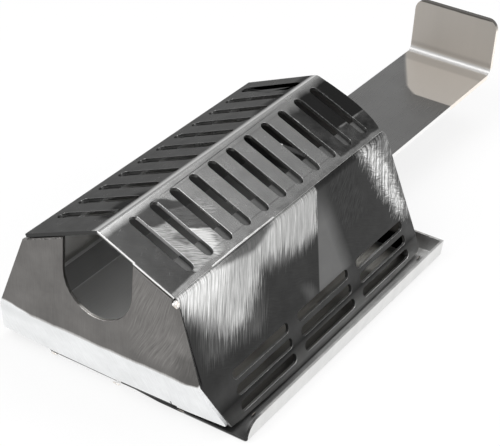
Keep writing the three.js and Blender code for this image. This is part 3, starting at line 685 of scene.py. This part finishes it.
def plate_steel(tree, settings):
    """Brushed up and down above the fold, painted bright below it as a reflection of the white
    surroundings, with painted shadow along the band's foot, a painted highlight on the mouth's lower
    rim, and the far plate's inside painted nearly black low down as shade
    """
    face = sheet_plane(tree, (0, FOOT_HALF, RIDGE), RIGHT, DOWN)
    upright = sheet_plane(tree, (0, 0, 0), FAR, UP)
    loose = wander(tree, face, 14.0, 1.2)
    fine = brush(tree, wander(tree, face, 50.0, 4.0, 1.0), 86, 14, 0.5)
    arcs = brush(tree, wander(tree, face, 70.0, 9.0, 2.0), 108, 12, 0.7, 2.0)
    blotches = cloudy(tree, face, 18.0)

    swept = patch(tree, loose, [(88, 14, 6), (112, 18, 4), (130, 58, 6), (96, 60, 10)], 8, 12, arcs)
    corner = patch(tree, loose, [(120, 50), (134, 50), (138, 66), (120, 66)], 4, 5, blotches)
    crust = patch(tree, wander(tree, face, 4.0, 0.5, 2.0),
                  [(26.5, 17), (51, 7), (51, 12.6), (26.5, 22.8)], 0.5)
    specks = noise(tree, face, 0.8, 2.0, 0.6)

    # Painted reflection: the band below the fold is bright with the white surroundings.
    below_fold = any_of(
        tree, past_v(tree, loose, RIDGE - BEND - 0.4, 2.0, 0.8, fine),
        patch(tree, loose, [(-2, 62.8), (20, 63.2), (34, 66), (-2, 68)], 1.2),
        patch(tree, loose, [(122, 66), (136, 63.4), (140, 68), (118, 68)], 1.2))
    patchy = patch(tree, loose, [(4, 64), (44, 66), (30, 74), (8, 73)], 5, 5, fine)
    tick = patch(tree, wander(tree, face, 3.0, 0.4),
                 [(108.6, 91), (109.4, 91), (109.2, 95.4), (108.4, 95.4)], 0.5)
    # Painted shadow between the band's foot and the tray.
    wide_foot_shadow = patch(tree, face, [(77, 94.4), (112, 93.3), (112, 98), (77, 98)], 0.4)
    narrow_foot_shadow = patch(tree, face, [(38, 94.7), (74, 95.4), (74, 98), (38, 98)], 0.4)
    band_level = layered(
        tree, vary(tree, 0.92, (blotches, 0.06, 2.4), (fine, 0.06, 2.6)),
        (patchy, 0.62, 0.2), (tick, 0.03), (wide_foot_shadow, 0.02), (narrow_foot_shadow, 0.05))

    # Painted highlight on the mouth's lower rim.
    rim_glint = patch(tree, face, [(62, 20), (84, 20), (84, 60), (62, 60)], 2.5, 3, blotches)
    far_plate = past_u(tree, upright, 150, 1)
    level = layered(
        tree, vary(tree, 0.17, (fine, 0.25), (blotches, 0.18, 2.0)),
        (swept, vary(tree, 0.21, (arcs, 0.3, 3.0)), 0.75),
        (corner, vary(tree, 0.1, (arcs, 0.3)), 0.6),
        (below_fold, band_level),
        (crust, vary(tree, 0.17, (specks, 0.75, 4.0)), 0.85),
        (facing(tree, UP, 0.6, 0.8), blend_values(tree, rim_glint, 0.22, 0.9)),
        (facing(tree, FAR, 0.4, 0.6),
         vary(tree, blend_values(tree, far_plate, 0.55, 0.3), (fine, 0.25))),
        # Painted shade: the far plate's inside, nearly black low down.
        (all_of(tree, facing(tree, NEAR), far_plate),
         blend_values(tree, past_v(tree, upright, 14, 3), 0.004, 0.2)))
    band = all_of(tree, below_fold, short_of_u(tree, upright, 150, 1))
    tint = blend_tints(tree, band, settings.plate_tint, settings.band_tint)
    rough = vary(tree, blend_values(tree, band, 0.38, 0.5), (fine, 0.2))
    return Finish(tint, level, rough, fine, 0.22)


def tray_steel(tree, settings):
    """Bright sheet brushed along the tray, soiled along its near edge, with painted shade under the
    hood and along the right wall's foot, a painted gleam under the far end of the hood, and a painted
    reflection and shadow line on its near cut face
    """
    floor = sheet_plane(tree, (0, 0, 0), FAR, RIGHT)
    height = sheet_plane(tree, (0, 0, 0), RIGHT, UP)
    fine = brush(tree, floor, 3, 24, 0.6)
    blotches = cloudy(tree, floor, 10.0)

    near_rim = short_of_u(tree, floor, 21, 7, 7, blotches)
    covered = patch(tree, floor, [(20, -68), (202, -68), (202, 68), (20, 68)], 1.0)
    # Painted shade under the hood, deeper towards the right wall, and a painted gleam near its far
    # end.
    gleam = patch(tree, floor, [(176, 34), (199.5, 34), (199.5, 62), (176, 62)], 4)
    covered_level = layered(
        tree, 0.6,
        (past_v(tree, floor, 51, 8), 0.3),
        (past_v(tree, floor, 59, 7), 0.18),
        (gleam, blend_values(tree, past_v(tree, floor, 54, 12), 0.98, 0.5)))
    # Painted shadow along the foot of the hood's right wall.
    right_foot_shadow = all_of(tree, short_of_v(tree, floor, 74.8, 2.8), past_v(tree, floor, 70, 0.5),
                          blend_values(tree, short_of_u(tree, floor, 90, 60), 0.3, 0.9))

    near_cut = all_of(tree, facing(tree, NEAR), short_of_u(tree, floor, 40, 1))
    # The near cut face is painted bright as a reflection on the left and dirt-darkened on the right,
    # with a painted shadow line along its top on the right, under the band.
    worn = blend_values(tree, past_v(tree, floor, 40, 10, 6, blotches), 0.85, 0.2)
    near_cut_shadow_line = any_of(
        tree,
        all_of(tree, past_u(tree, height, 4, 0.5), short_of_u(tree, height, 42, 1),
               half(tree, height, (22, 0.6), 85, 0.3)),
        all_of(tree, past_u(tree, height, 41, 1), past_v(tree, height, 0.6, 0.3)))
    near_cut_level = blend_values(tree, near_cut_shadow_line, maths(tree, "MULTIPLY", worn, 1.5), 0.045)
    far_lip = all_of(tree, facing(tree, NEAR), past_u(tree, floor, 150, 1))
    flat = facing(tree, UP, 0.5, 0.8)
    far_floor = all_of(tree, flat, past_u(tree, floor, 206, 3), short_of_v(tree, height, 5, 1))
    far_rim = all_of(tree, flat, past_u(tree, floor, 215.9, 0.3), past_v(tree, height, 5, 1))

    level = layered(
        tree, vary(tree, 0.42, (fine, 0.2), (blotches, 0.25, 2.0)),
        (all_of(tree, near_rim, past_v(tree, floor, -36, 2)), 0.05, 0.8),
        (all_of(tree, near_rim, past_v(tree, floor, 4, 1)), vary(tree, 0.05, (fine, 0.4))),
        (covered, vary(tree, covered_level, (fine, 0.2))),
        (right_foot_shadow, 0.07),
        (any_of(tree, facing(tree, RIGHT), facing(tree, FAR)),
         vary(tree, 0.77, (fine, 0.1), (blotches, 0.1))),
        (near_cut, vary(tree, near_cut_level, (blotches, 0.2, 2.0))),
        (far_lip, vary(tree, 0.5, (fine, 0.1))),
        (far_floor, vary(tree, 0.56, (fine, 0.15))),
        (far_rim, 0.18))
    metallic = layered(tree, maths(tree, "MULTIPLY_ADD", flat, -0.5, 1.0), (gleam, 0.15))
    tint = blend_tints(tree, all_of(tree, covered, flat), settings.hood_tint, settings.floor_tint)
    return Finish(tint, level, vary(tree, 0.4, (fine, 0.2)), fine, 0.2, metallic)


def handle_steel(tree, settings):
    """Smooth cold-rolled strip, neutral grey, with a painted warm reflection of the tab at its bright
    end, an even warm tab, and painted highlights on the tab's bend and on the right cut edge
    """
    corner = (200, -29.3, 35.6)
    face = sheet_plane(tree, corner, FAR, LEFT)
    height = sheet_plane(tree, corner, LEFT, UP)
    fine = brush(tree, face, 0, 40, 0.8)
    blotches = cloudy(tree, face, 34.0)

    # Painted reflection of the tab, warm and bright, on the strip's end.
    sheen = any_of(
        tree,
        patch(tree, face, [(120.5, -6), (200, -6), (200, 36), (129, 36, 2), (120.5, 26)], 1.2),
        patch(tree, face,
              [(122, 28), (200, 28), (200, 62), (175, 62, 2.5), (151, 49, 2.5), (128, 35)], 1.2))
    tab = past_v(tree, height, 4.0, 3.0)
    # Painted highlight on the tab's bend.
    bend = all_of(tree, past_u(tree, face, 172.5, 1.5), short_of_v(tree, height, 3.2, 1.5))
    rim = any_of(tree, all_of(tree, facing(tree, UP, 0.3, 0.6), past_v(tree, height, 20.0, 1.0)),
                 past_v(tree, wander(tree, height, 9.0, 0.25), 35.0, 0.4))
    # Painted highlight on the right cut edge.
    right_edge = all_of(tree, facing(tree, RIGHT, 0.6, 0.8), short_of_v(tree, height, 30, 2))

    level = layered(
        tree, vary(tree, 0.235, (fine, 0.04), (blotches, 0.1, 1.6)),
        (sheen, vary(tree, 0.49, (fine, 0.03))),
        (short_of_u(tree, face, 24, 8), 0.07))
    level = dimmed(tree, level, strip(tree, face, 162, 172, 30, 80, 2.5), 0.16)
    level = layered(tree, level, (tab, vary(tree, 0.4, (blotches, 0.08, 1.5))), (bend, 0.6))
    level = dimmed(tree, level, strip(tree, height, -10, 70, 5.2, 3.0, 2.0), 0.16)
    level = layered(tree, level, (rim, 0.08), (right_edge, 0.98))

    cool_side = all_of(tree, tab, past_v(tree, face, 46, 14, 8, blotches))
    warm = any_of(tree, sheen, maths(tree, "MULTIPLY_ADD", cool_side, -0.7, tab, clamp=True))
    tint = blend_tints(tree, all_of(tree, warm, maths(tree, "SUBTRACT", 1.0, bend)),
                       (1.0, 0.995, 0.985), settings.handle_tint)
    rough = vary(tree, blend_values(tree, warm, 0.28, 0.45), (fine, 0.1))
    metallic = layered(tree, 1.0, (sheen, 0.6), (tab, 0.25))
    return Finish(tint, level, rough, fine, 0.06, metallic)


def pan_steel(tree, settings):
    """Plain mill finish inside the hood, painted palest at its near end as light coming in through the
    mouth, its sides painted dark as a dark reflection, and darker at its far end
    """
    floor = sheet_plane(tree, (0, 0, 0), FAR, RIGHT)
    fine = brush(tree, floor, 0, 30, 0.9, 2.0)
    blotches = cloudy(tree, floor, 12.0)
    level = layered(
        tree, vary(tree, 0.3, (fine, 0.1), (blotches, 0.3)),
        # Painted light at the near end, and painted dark reflection on the sides.
        (short_of_u(tree, floor, 80, 30), vary(tree, 0.46, (fine, 0.1))),
        (past_u(tree, floor, 190, 1), 0.12),
        (any_of(tree, facing(tree, RIGHT), facing(tree, LEFT)), vary(tree, 0.08, (fine, 0.15))))
    return Finish(settings.hood_tint, level, vary(tree, 0.42, (fine, 0.2)), fine, 0.15, 0.6)


def weld_metal(tree, settings, lump_scale, heat_scale, heat_share, plain_tint, level, swing, rough):
    """Weld metal with fine lumps, heat-tinted in places"""
    place = vector_maths(tree, "SCALE", own_place(tree), 1.0 / MM)
    lumps = noise(tree, place, lump_scale, 3.0, 0.6)
    heat = all_of(tree, contrast(tree, noise(tree, place, heat_scale, 2.0), 3.0), heat_share)
    return Finish(blend_tints(tree, heat, plain_tint, settings.weld_tint),
                  vary(tree, level, (lumps, swing)), vary(tree, rough, (lumps, 0.3)), lumps, 0.5)


def weld_steel(tree, settings):
    """Dull weld metal with a trace of heat tint"""
    return weld_metal(tree, settings, 0.9, 0.35, 0.35, (1.0, 0.99, 0.97), 0.22, 0.6, 0.42)


def bright_weld_steel(tree, settings):
    """Weld metal ground bright, browned in places"""
    return weld_metal(tree, settings, 0.7, 0.45, 0.5, (1.0, 1.0, 1.0), 0.85, 0.2, 0.4)


def steel_material(settings, name, finish_of, edge_tint=1.0):
    """A bare steel material. edge_tint is how strongly it reflects where it's seen along its face."""
    material = bpy.data.materials.new(name)
    material.use_nodes = True
    tree = material.node_tree
    shader = tree.nodes["Principled BSDF"]
    finish = finish_of(tree, settings)
    shader.inputs["Specular Tint"].default_value = (edge_tint, edge_tint, edge_tint, 1.0)
    feed(tree, shader.inputs["Base Color"], vector_maths(tree, "SCALE", finish.tint, finish.level))
    feed(tree, shader.inputs["Roughness"], finish.rough)
    feed(tree, shader.inputs["Metallic"], finish.metallic)
    bump = new_node(tree, "ShaderNodeBump")
    bump.inputs["Strength"].default_value = finish.bump
    bump.inputs["Distance"].default_value = BUMP_DISTANCE
    feed(tree, bump.inputs["Height"], finish.lines)
    feed(tree, shader.inputs["Normal"], bump.outputs["Normal"])
    return material


def build_materials(settings):
    """The shared effects, and then every material by its short name"""
    build_sheet_plane()
    build_brush_lines()
    build_half_mask()
    MATERIALS.update(
        wall_right=steel_material(settings, "Right Wall Steel", right_wall_steel),
        wall_left=steel_material(settings, "Left Wall Steel", left_wall_steel),
        roof=steel_material(settings, "Roof Steel", roof_steel, 0.5),
        plate=steel_material(settings, "End Plate Steel", plate_steel),
        tray=steel_material(settings, "Tray Steel", tray_steel),
        handle=steel_material(settings, "Handle Steel", handle_steel),
        pan=steel_material(settings, "Pan Steel", pan_steel),
        weld=steel_material(settings, "Weld Steel", weld_steel),
        bright_weld=steel_material(settings, "Bright Weld Steel", bright_weld_steel))


def start_copy(node, name):
    """A copy of a plain piece without materials, in edit mode, its doubled vertices merged"""
    mesh = NODES[node].data.copy()
    mesh.materials.clear()
    piece = bpy.data.objects.new(name, mesh)
    bpy.context.scene.collection.objects.link(piece)
    bpy.ops.object.select_all(action="DESELECT")
    piece.select_set(True)
    bpy.context.view_layer.objects.active = piece
    bpy.ops.object.mode_set(mode="EDIT")
    bpy.ops.mesh.select_all(action="SELECT")
    bpy.ops.mesh.remove_doubles(threshold=MERGE_DISTANCE)
    return piece


def modify(piece, kind, **values):
    """A modifier with its properties set by name, applied to the active piece"""
    bpy.ops.object.modifier_add(type=kind)
    modifier = piece.modifiers[-1]
    for name, value in values.items():
        setattr(modifier, name, value)
    bpy.ops.object.modifier_apply(modifier=modifier.name)


def finish_copy(piece, node, material, body):
    """The copy gets its material and stands for the plain piece"""
    piece.data.materials.append(MATERIALS[material])
    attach(piece, body)
    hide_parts(node)


def eased_sheet(node, name, material, body):
    """A cut sheet with its edges eased"""
    edges = bpy.context.scene.chip_tray_edges
    piece = start_copy(node, name)
    bpy.ops.mesh.dissolve_limited(angle_limit=FLAT_ANGLE)
    bpy.ops.object.mode_set(mode="OBJECT")
    modify(piece, "BEVEL", width=edges.width, segments=2, limit_method="ANGLE",
           angle_limit=BEVEL_ANGLE, use_clamp_overlap=False)
    bpy.ops.object.shade_smooth_by_angle(angle=edges.smooth_angle)
    modify(piece, "WEIGHTED_NORMAL", weight=100, keep_sharp=True)
    finish_copy(piece, node, material, body)


def lumpy_weld(node, material, body, sag, swell=0.0):
    """A bead or tack that swells out, and sinks by sag between its ripples"""
    piece = start_copy(node, "rippled_" + node)
    bpy.ops.object.mode_set(mode="OBJECT")
    modify(piece, "REMESH", mode="VOXEL", voxel_size=WELD_VOXEL)
    ripples = bpy.data.textures.new("ripples of " + node, type="CLOUDS")
    ripples.noise_scale = bpy.context.scene.chip_tray_edges.weld_ripple
    ripples.noise_depth = 1
    modify(piece, "DISPLACE", texture=ripples, texture_coords="LOCAL", strength=sag,
           mid_level=1.0 - swell / sag)
    bpy.ops.object.shade_smooth()
    finish_copy(piece, node, material, body)


class CHIPTRAY_OT_tray(bpy.types.Operator):
    """Dress the base tray"""
    bl_idname = "chiptray.tray"
    bl_label = "Base Tray"

    def execute(self, context):
        eased_sheet("base_tray", "lipped_tray", "tray", "housing")
        return {"FINISHED"}


class CHIPTRAY_OT_hood(bpy.types.Operator):
    """Dress the roof and both side walls"""
    bl_idname = "chiptray.hood"
    bl_label = "Hood"

    def execute(self, context):
        eased_sheet("roof_cap", "slotted_roof", "roof", "housing")
        for side in ("right", "left"):
            eased_sheet("side_wall_" + side, "slotted_wall_" + side, "wall_" + side, "housing")
        return {"FINISHED"}


class CHIPTRAY_OT_plates(bpy.types.Operator):
    """Dress both end plates"""
    bl_idname = "chiptray.plates"
    bl_label = "End Plates"

    def execute(self, context):
        eased_sheet("near_end_plate", "mouth_plate", "plate", "housing")
        eased_sheet("far_end_plate", "drawer_plate", "plate", "housing")
        return {"FINISHED"}


class CHIPTRAY_OT_drawer(bpy.types.Operator):
    """Dress the chip pan and its handle"""
    bl_idname = "chiptray.drawer"
    bl_label = "Drawer"

    def execute(self, context):
        eased_sheet("chip_pan", "chip_box", "pan", "drawer")
        eased_sheet("handle_strip", "flat_handle", "handle", "drawer")
        return {"FINISHED"}


class CHIPTRAY_OT_welds(bpy.types.Operator):
    """Shape and dress the beads and tacks"""
    bl_idname = "chiptray.welds"
    bl_label = "Welds"

    def execute(self, context):
        sag = context.scene.chip_tray_edges.weld_sag
        for node in list(NODES):
            if "weld" not in node and "tack" not in node:
                continue
            material = "bright_weld" if node in BRIGHT_WELDS else "weld"
            body = "drawer" if node.startswith("pan_tack") else "housing"
            if node == EAVE_WELD:
                lumpy_weld(node, material, body, 4 * sag, 2.5 * sag)
            else:
                lumpy_weld(node, material, body, sag)
        return {"FINISHED"}


class CHIPTRAY_OT_stage(bpy.types.Operator):
    """Set the floor, the lamps, the sky and the camera"""
    bl_idname = "chiptray.stage"
    bl_label = "Stage"

    def execute(self, context):
        stage = context.scene.chip_tray_stage
        self.add_floor(stage)
        self.add_lamps(stage)
        self.add_sky(context, stage)
        self.add_camera(context, stage)
        context.scene.view_settings.view_transform = "Standard"
        return {"FINISHED"}

    def add_floor(self, stage):
        """Matt where it takes light and shadows, and mostly plain white where it's seen or mirrored"""
        bpy.ops.object.select_all(action="DESELECT")
        bpy.ops.mesh.primitive_plane_add(size=FLOOR_SIZE, location=(0, 0, -FLOOR_DROP))
        floor = bpy.context.active_object
        floor.name = "floor"
        material = bpy.data.materials.new("Pale Floor")
        material.use_nodes = True
        tree = material.node_tree
        tree.nodes.clear()
        matt = new_node(tree, "ShaderNodeBsdfDiffuse")
        matt.inputs["Color"].default_value = (*stage.floor_colour, 1.0)
        white = new_node(tree, "ShaderNodeEmission")
        white.inputs["Strength"].default_value = 1.0
        light_path = new_node(tree, "ShaderNodeLightPath")
        seen = any_of(tree, *(light_path.outputs[f"Is {ray} Ray"]
                              for ray in ("Camera", "Glossy", "Transmission")))
        mix = new_node(tree, "ShaderNodeMixShader")
        feed(tree, mix.inputs[0], maths(tree, "MULTIPLY", seen, FLOOR_GLOW))
        feed(tree, mix.inputs[1], matt.outputs[0])
        feed(tree, mix.inputs[2], white.outputs[0])
        out = new_node(tree, "ShaderNodeOutputMaterial")
        feed(tree, out.inputs["Surface"], mix.outputs[0])
        floor.data.materials.append(material)

    def add_lamps(self, stage):
        """Large soft lamps, all aimed at the middle of the part"""
        for name, place, size, power in (
                ("key lamp", (-0.75, 0.35, 1.1), 0.9, stage.key_power),
                ("top lamp", (0.35, -0.1, 1.3), 0.8, stage.key_power * 0.6),
                ("fill lamp", (0.1, -1.1, 0.7), 0.8, stage.fill_power)):
            bpy.ops.object.light_add(type="AREA", location=place)
            lamp = bpy.context.active_object
            lamp.name = name
            lamp.data.size = size
            lamp.data.energy = power
            aim = LAMP_AIM - Vector(place)
            lamp.rotation_euler = aim.to_track_quat("-Z", "Y").to_euler()

    def add_sky(self, context, stage):
        """White round the horizon and where it's seen, and at the sky level over 38 degrees up"""
        world = bpy.data.worlds.new("Studio")
        context.scene.world = world
        world.use_nodes = True
        tree = world.node_tree
        tree.nodes.clear()
        ray = new_node(tree, "ShaderNodeTexCoord").outputs["Generated"]
        high = maths(tree, "MULTIPLY_ADD", separate(tree, ray)[2], 2.2, -0.35, clamp=True)
        seen = new_node(tree, "ShaderNodeLightPath").outputs["Is Camera Ray"]
        background = new_node(tree, "ShaderNodeBackground")
        feed(tree, background.inputs["Strength"], layered(tree, 1.0, (high, stage.sky), (seen, 1.0)))
        out = new_node(tree, "ShaderNodeOutputWorld")
        feed(tree, out.inputs["Surface"], background.outputs[0])

    def add_camera(self, context, stage):
        """The camera stands where the one of the photo stood"""
        back = Vector((math.cos(CAMERA_RISE) * math.cos(CAMERA_TURN),
                       math.cos(CAMERA_RISE) * math.sin(CAMERA_TURN), math.sin(CAMERA_RISE)))
        level = Vector(UP).cross(back).normalized()
        upright = back.cross(level)
        right = level * math.cos(CAMERA_ROLL) + upright * math.sin(CAMERA_ROLL)
        up = upright * math.cos(CAMERA_ROLL) - level * math.sin(CAMERA_ROLL)
        bpy.ops.object.camera_add(location=CAMERA_PLACE)
        camera = bpy.context.active_object
        camera.name = "camera"
        matrix = camera.matrix_world.copy()
        for column, axis in enumerate((right, up, back)):
            for row in range(3):
                matrix[row][column] = axis[row]
        camera.matrix_world = matrix
        camera.data.sensor_width = SENSOR_WIDTH
        camera.data.lens = stage.focal_length
        context.scene.camera = camera


class CHIPTRAY_PT_panel(bpy.types.Panel):
    """The pieces of the chip tray and their settings"""
    bl_idname = "CHIPTRAY_PT_panel"
    bl_label = "Chip Tray"
    bl_space_type = "VIEW_3D"
    bl_region_type = "UI"
    bl_category = "Chip Tray"

    def draw(self, context):
        for operator in OPERATORS:
            self.layout.operator(operator.bl_idname)
        for settings in (context.scene.chip_tray_edges, context.scene.chip_tray_steel,
                         context.scene.chip_tray_stage):
            for name in settings.bl_rna.properties.keys():
                if name not in ("rna_type", "name"):
                    self.layout.prop(settings, name)


OPERATORS = (CHIPTRAY_OT_tray, CHIPTRAY_OT_hood, CHIPTRAY_OT_plates, CHIPTRAY_OT_drawer,
             CHIPTRAY_OT_welds, CHIPTRAY_OT_stage)
CLASSES = (ChipTrayEdges, ChipTraySteel, ChipTrayStage, *OPERATORS, CHIPTRAY_PT_panel)


def register():
    for kind in CLASSES:
        bpy.utils.register_class(kind)
    bpy.types.Scene.chip_tray_edges = bpy.props.PointerProperty(type=ChipTrayEdges)
    bpy.types.Scene.chip_tray_steel = bpy.props.PointerProperty(type=ChipTraySteel)
    bpy.types.Scene.chip_tray_stage = bpy.props.PointerProperty(type=ChipTrayStage)


def unregister():
    del bpy.types.Scene.chip_tray_stage
    del bpy.types.Scene.chip_tray_steel
    del bpy.types.Scene.chip_tray_edges
    for kind in reversed(CLASSES):
        bpy.utils.unregister_class(kind)


def main():
    register()
    build_materials(bpy.context.scene.chip_tray_steel)
    bpy.ops.chiptray.tray()
    bpy.ops.chiptray.hood()
    bpy.ops.chiptray.plates()
    bpy.ops.chiptray.drawer()
    bpy.ops.chiptray.welds()
    bpy.ops.chiptray.stage()


if __name__ == "__main__":
    main()
